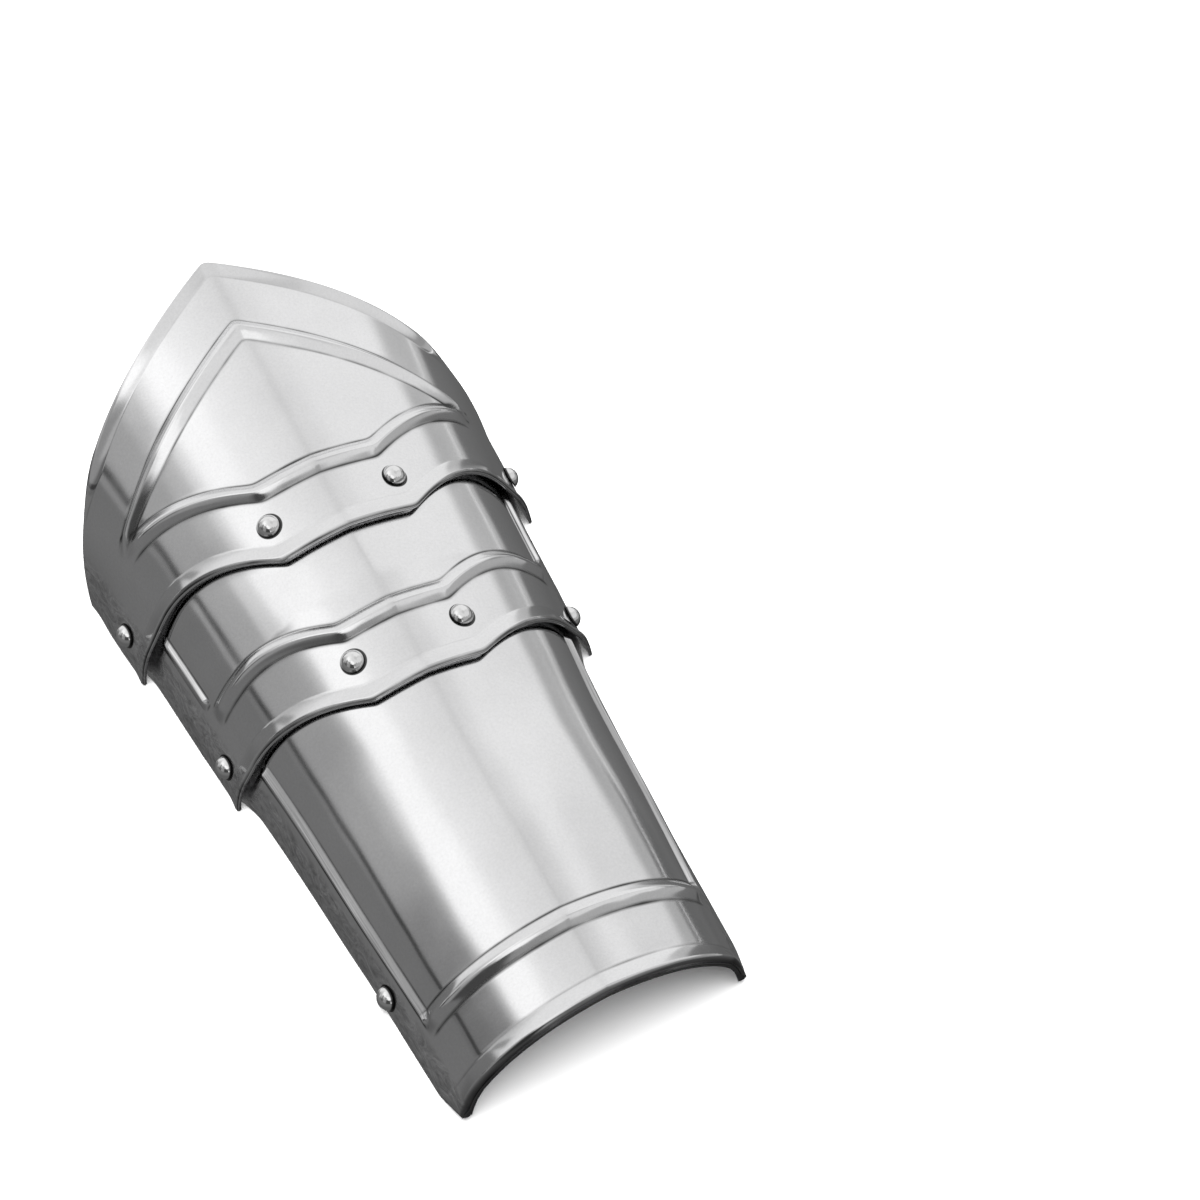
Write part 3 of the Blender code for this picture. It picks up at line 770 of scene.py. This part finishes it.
class Graph:
    """Short calls for adding nodes to a material's or the world's node tree."""

    def __init__(self, tree):
        self.tree = tree
        self.tree.nodes.clear()

    def node(self, kind, **settings):
        made = self.tree.nodes.new(kind)
        for name, value in settings.items():
            setattr(made, name, value)
        return made

    def feed(self, socket, value):
        """Links an output to the socket, or sets its value."""
        if isinstance(value, bpy.types.NodeSocket):
            self.tree.links.new(value, socket)
        else:
            socket.default_value = value

    def call(self, kind, *values, out=0, **settings):
        """Adds a node, feeds its first inputs in order and returns one of its outputs."""
        made = self.node(kind, **settings)
        for socket, value in zip(made.inputs, values):
            self.feed(socket, value)
        return made.outputs[out]

    def math(self, operation, *values):
        return self.call("ShaderNodeMath", *values, operation=operation)

    def vector(self, operation, *values, out=0):
        return self.call("ShaderNodeVectorMath", *values, operation=operation, out=out)

    def noise(self, place, scale, detail=2.0, rough=0.5, distortion=0.0):
        """Fractal noise about 0, roughly between -0.5 and 0.5."""
        made = self.node("ShaderNodeTexNoise")
        values = {
            "Vector": place, "Scale": scale, "Detail": detail, "Roughness": rough, "Distortion": distortion}
        for name, value in values.items():
            self.feed(made.inputs[name], value)
        return self.math("SUBTRACT", made.outputs[0], 0.5)

    def attribute(self, name):
        return self.node("ShaderNodeAttribute", attribute_name=name).outputs["Fac"]

    def ramp(self, value, start, end, low=0.0, high=1.0):
        """Smooth step of value, from low at start to high at end."""
        return self.call(
            "ShaderNodeMapRange", value, start, end, low, high, interpolation_type="SMOOTHSTEP")

    def mix(self, share, first, second):
        made = self.node("ShaderNodeMix", data_type="FLOAT")
        for socket, value in ((made.inputs[0], share), (made.inputs[2], first), (made.inputs[3], second)):
            self.feed(socket, value)
        return made.outputs[0]


def heading(azimuth):
    """Level unit vector; azimuth 0 is +Y and 90 is +X."""
    return (math.sin(math.radians(azimuth)), math.cos(math.radians(azimuth)), 0.0)


def light_tent():
    """Soft world light: a pale ceiling and walls, bright bands high on the left, and a dark ground."""
    world = bpy.data.worlds.new("light_tent")
    bpy.context.scene.world = world
    world.use_nodes = True
    graph = Graph(world.node_tree)
    direction = graph.call("ShaderNodeTexCoord")
    level = graph.vector("MULTIPLY", direction, (1.0, 1.0, 0.0))
    bearing = graph.vector("NORMALIZE", level)
    up = graph.call("ShaderNodeSeparateXYZ", direction, out=2)
    height = graph.math("MULTIPLY", graph.math("ARCSINE", up), 180.0 / math.pi)

    def towards(azimuth, half_width, fade):
        """1 up to half_width away from azimuth, falling to 0 over fade."""
        closeness = graph.vector("DOT_PRODUCT", bearing, heading(azimuth), out="Value")
        return graph.ramp(
            closeness, math.cos(math.radians(half_width + fade)), math.cos(math.radians(half_width)))

    def lay(radiance, patches):
        for around, (low, low_fade), (high, high_fade), shade in patches.values():
            above = graph.ramp(height, low - low_fade, low)
            below = graph.ramp(height, high + high_fade, high)
            share = graph.math("MULTIPLY", towards(*around), graph.math("MULTIPLY", above, below))
            radiance = graph.mix(share, radiance, shade)
        return radiance

    radiance = lay(graph.ramp(height, *CEILING_EDGE, TENT_WALL, TENT_CEILING), TENT_PATCHES)
    horizon = graph.mix(towards(*HORIZON_DIPS), HORIZON, HORIZON_RIGHT)
    above_horizon = graph.math("SUBTRACT", height, horizon)
    ground = graph.ramp(above_horizon, HORIZON_SOFTNESS, -HORIZON_SOFTNESS)
    radiance = graph.mix(ground, radiance, graph.ramp(height, *GROUND_DARKENS, *GROUND_SHADES))
    radiance = lay(radiance, GROUND_PATCHES)
    background = graph.node("ShaderNodeBackground")
    graph.feed(background.inputs["Strength"], graph.math("MULTIPLY", radiance, TENT_GAIN))
    output = graph.node("ShaderNodeOutputWorld")
    graph.feed(output.inputs["Surface"], background.outputs[0])


def principled(graph, colour, roughness, normal=None):
    shader = graph.node("ShaderNodeBsdfPrincipled")
    graph.feed(shader.inputs["Base Color"], colour)
    shader.inputs["Metallic"].default_value = 1.0
    graph.feed(shader.inputs["Roughness"], roughness)
    if normal:
        graph.feed(shader.inputs["Normal"], normal)
    output = graph.node("ShaderNodeOutputMaterial")
    graph.feed(output.inputs["Surface"], shader.outputs[0])


def bumped(graph, height):
    """Normal of a surface with this height in mm."""
    made = graph.node("ShaderNodeBump")
    graph.feed(made.inputs["Strength"], 1.0)
    graph.feed(made.inputs["Distance"], MM)
    graph.feed(made.inputs["Height"], height)
    return made.outputs[0]


def painted_shadow_rings(graph, place, centres):
    """1 in the thin painted shadow ring round each rivet's head, heavier on the side away from the light.
    """
    nearest = 1.0
    for centre in centres:
        off = graph.vector("SUBTRACT", place, Vector(centre) + Vector(PAINTED_SHADOW_SHIFT))
        nearest = graph.math("MINIMUM", nearest, graph.vector("LENGTH", off, out="Value"))
    return graph.ramp(nearest, (PAINTED_SHADOW_RING + PAINTED_SHADOW_FADE) * MM, PAINTED_SHADOW_RING * MM)


def plate_steel(centres):
    """Hand-polished sheet: residue and painted shade in hollows, painted shade on rims, crown crease and
    round rivets, worn crests, dull inside, grinding marks low down.
    """
    material = bpy.data.materials.new("plate_steel_fine")
    material.use_nodes = True
    graph = Graph(material.node_tree)
    place = graph.call("ShaderNodeTexCoord", out="Object")
    side = graph.attribute("side")
    cloud = graph.noise(place, 45.0, 3.0, 0.6)
    wide_cloud = graph.noise(place, 16.0, 2.0)
    speck = graph.noise(place, 1100.0, 2.0, 0.7)
    swirl = graph.noise(graph.vector("MULTIPLY", place, (1.0, 0.5, 1.0)), 220.0, 5.0, 0.7, 2.4)
    along_ribs = graph.call("ShaderNodeCombineXYZ", graph.math("MULTIPLY", side, 5.0), 0.0, 0.0)
    draw_lines = graph.noise(graph.vector("MULTIPLY_ADD", place, (0.0, 1.0, 0.0), along_ribs), 40.0, 2.0)
    inside = graph.ramp(graph.attribute("inside"), 0.5, 1.0)
    low = graph.ramp(side, *LOW_WALL)
    wall = graph.ramp(side, *SIDE_WALL)
    # Painted shade along the crown crease.
    crown = graph.ramp(side, 0.03, 0.0)
    patchy = graph.math("MULTIPLY_ADD", graph.noise(place, 70.0, 2.0), 1.2, 0.85)
    # Residue in the hollows, together with painted shade in the creases at the rib feet.
    residue_and_shade = graph.ramp(graph.math("MULTIPLY", graph.attribute("hollow"), patchy), 0.10, 1.0)
    # Painted shadow rings round the rivet heads.
    residue_and_shade = graph.math("MAXIMUM", residue_and_shade, painted_shadow_rings(graph, place, centres))

    low_swirl = graph.math("MULTIPLY", low, swirl)
    rib_lines = graph.math("MULTIPLY", graph.attribute("side_rib"), draw_lines)

    shade = graph.mix(residue_and_shade, 1.0, RESIDUE_AND_PAINTED_SHADE)
    # Painted shade on the rims and along the crown crease, and darker inside and low on the walls.
    for share, dark in (
            (graph.attribute("rim"), PAINTED_RIM_SHADE), (inside, INSIDE_SHADE), (low, LOW_SHADE),
            (crown, PAINTED_CROWN_SHADE)):
        shade = graph.math("MULTIPLY", shade, graph.mix(share, 1.0, dark))
    for pattern, strength in (
            (cloud, CLOUD_STRENGTH), (wide_cloud, WIDE_CLOUD_STRENGTH), (speck, SPECK_STRENGTH),
            (low_swirl, SWIRL_STRENGTH), (rib_lines, DRAW_LINE_STRENGTH)):
        shade = graph.math("MULTIPLY", shade, graph.math("MULTIPLY_ADD", pattern, strength, 1.0))
    colour = graph.vector("MULTIPLY", STEEL_COLOUR, shade)

    roughness = graph.math("MULTIPLY_ADD", cloud, CLOUD_ROUGHNESS, STEEL_ROUGHNESS)
    for share, rough in (
            (residue_and_shade, 0.30), (inside, 0.12), (wall, -0.07), (low, 0.10), (graph.attribute("worn"), -0.03)):
        roughness = graph.math("MULTIPLY_ADD", share, rough, roughness)

    height = graph.math("MULTIPLY", low_swirl, SWIRL_HEIGHT)
    for scale, size in STEEL_BUMPS:
        height = graph.math("MULTIPLY_ADD", graph.noise(place, scale), size, height)
    principled(graph, colour, roughness, bumped(graph, height))
    return material


def rivet_steel():
    """Mirror-polished domes with a painted shadow ring where they meet the sheet."""
    material = bpy.data.materials.new("rivet_steel_fine")
    material.use_nodes = True
    graph = Graph(material.node_tree)
    place = graph.call("ShaderNodeTexCoord", out="Object")
    cloud = graph.noise(place, 300.0)
    # Painted shadow at the foot of the dome, where it meets the sheet.
    ring = graph.ramp(graph.attribute("height"), *PAINTED_FOOT_SHADOW)
    colour = graph.vector("MULTIPLY", RIVET_COLOUR, graph.mix(ring, 1.0, PAINTED_FOOT_SHADOW_SHADE))
    scale, size = RIVET_BUMP
    height = graph.math("MULTIPLY", graph.noise(place, scale), size)
    roughness = graph.math("MULTIPLY_ADD", cloud, RIVET_ROUGHNESS, RIVET_ROUGHNESS)
    principled(graph, colour, roughness, bumped(graph, height))
    return material


def studio_floor():
    side = FLOOR_HALF_SIDE
    mesh = bpy.data.meshes.new("floor")
    corners = [(-side, -side, 0.0), (side, -side, 0.0), (side, side, 0.0), (-side, side, 0.0)]
    mesh.from_pydata(corners, [], [(0, 1, 2, 3)])
    material = bpy.data.materials.new("floor_paper")
    material.use_nodes = True
    shader = material.node_tree.nodes["Principled BSDF"]
    shader.inputs["Base Color"].default_value = (FLOOR_SHADE, FLOOR_SHADE, FLOOR_SHADE, 1.0)
    shader.inputs["Roughness"].default_value = 0.9
    shader.inputs["Specular IOR Level"].default_value = 0.0
    mesh.materials.append(material)
    floor = bpy.data.objects.new("floor", mesh)
    floor.location.z = -FLOOR_DROP
    floor.visible_glossy = False
    bpy.context.scene.collection.objects.link(floor)


def overhead_light():
    """Wide soft light that whitens the floor; the steel mirrors only the tent."""
    data = bpy.data.lights.new("overhead", "AREA")
    data.shape = "DISK"
    data.size = LAMP_SIZE
    data.energy = LAMP_POWER
    light = bpy.data.objects.new("overhead", data)
    light.location = (0.0, 0.0, LAMP_HEIGHT)
    light.visible_glossy = False
    bpy.context.scene.collection.objects.link(light)


def studio_camera():
    data = bpy.data.cameras.new("camera")
    data.sensor_width = 36.0
    data.lens = CAMERA_LENS
    camera = bpy.data.objects.new("camera", data)
    azimuth, elevation, roll = (math.radians(angle) for angle in CAMERA_ANGLES)
    level = math.cos(elevation)
    forward = Vector((math.sin(azimuth) * level, math.cos(azimuth) * level, -math.sin(elevation)))
    right = Vector((math.cos(azimuth), -math.sin(azimuth), 0.0))
    up = right.cross(forward)
    tilted_right = right * math.cos(roll) + up * math.sin(roll)
    tilted_up = up * math.cos(roll) - right * math.sin(roll)
    turn = Matrix((tilted_right, tilted_up, -forward)).transposed().to_4x4()
    camera.matrix_world = Matrix.Translation(CAMERA_PLACE) @ turn
    bpy.context.scene.collection.objects.link(camera)
    bpy.context.scene.camera = camera


# ---------------------------------------------------------------------------------------------------


def show(piece, node, finish):
    piece.data.materials.clear()
    piece.data.materials.append(finish)
    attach(piece, "root")
    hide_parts(node)


def build():
    rivet_finish = rivet_steel()
    places = {}
    for group, (t, y, depth, sides) in RIVETS.items():
        relief = PLATES[group.split("_")[0] + "_plate"][2]
        places[group] = {side: rivet_place(relief, SIDES[side] * t, y) for side in sides}
        for side, place in places[group].items():
            node = "rivet_" + group + "_" + side
            rivet = bpy.data.objects.new(node + "_fine", turned_mesh(node, rivet_profile(depth)))
            bpy.context.scene.collection.objects.link(rivet)
            rivet.data.transform(place)
            show(rivet, node, rivet_finish)
    centres = [place.translation for group in places.values() for place in group.values()]
    plate_finish = plate_steel(centres)
    for number, (node, (side_shape, rows, relief, thickness)) in enumerate(PLATES.items()):
        plate = fine_plate(node + "_fine", side_shape, rows, relief, thickness, PHASE_STEP * number)
        drill(plate, [place for group in HOLES[node] for place in places[group].values()])
        plate.data.shade_smooth()
        plate.data.set_sharp_from_angle(angle=PLATE_SHARP)
        show(plate, node, plate_finish)
    light_tent()
    studio_floor()
    overhead_light()
    studio_camera()
    bpy.context.scene.view_settings.view_transform = "Standard"


build()
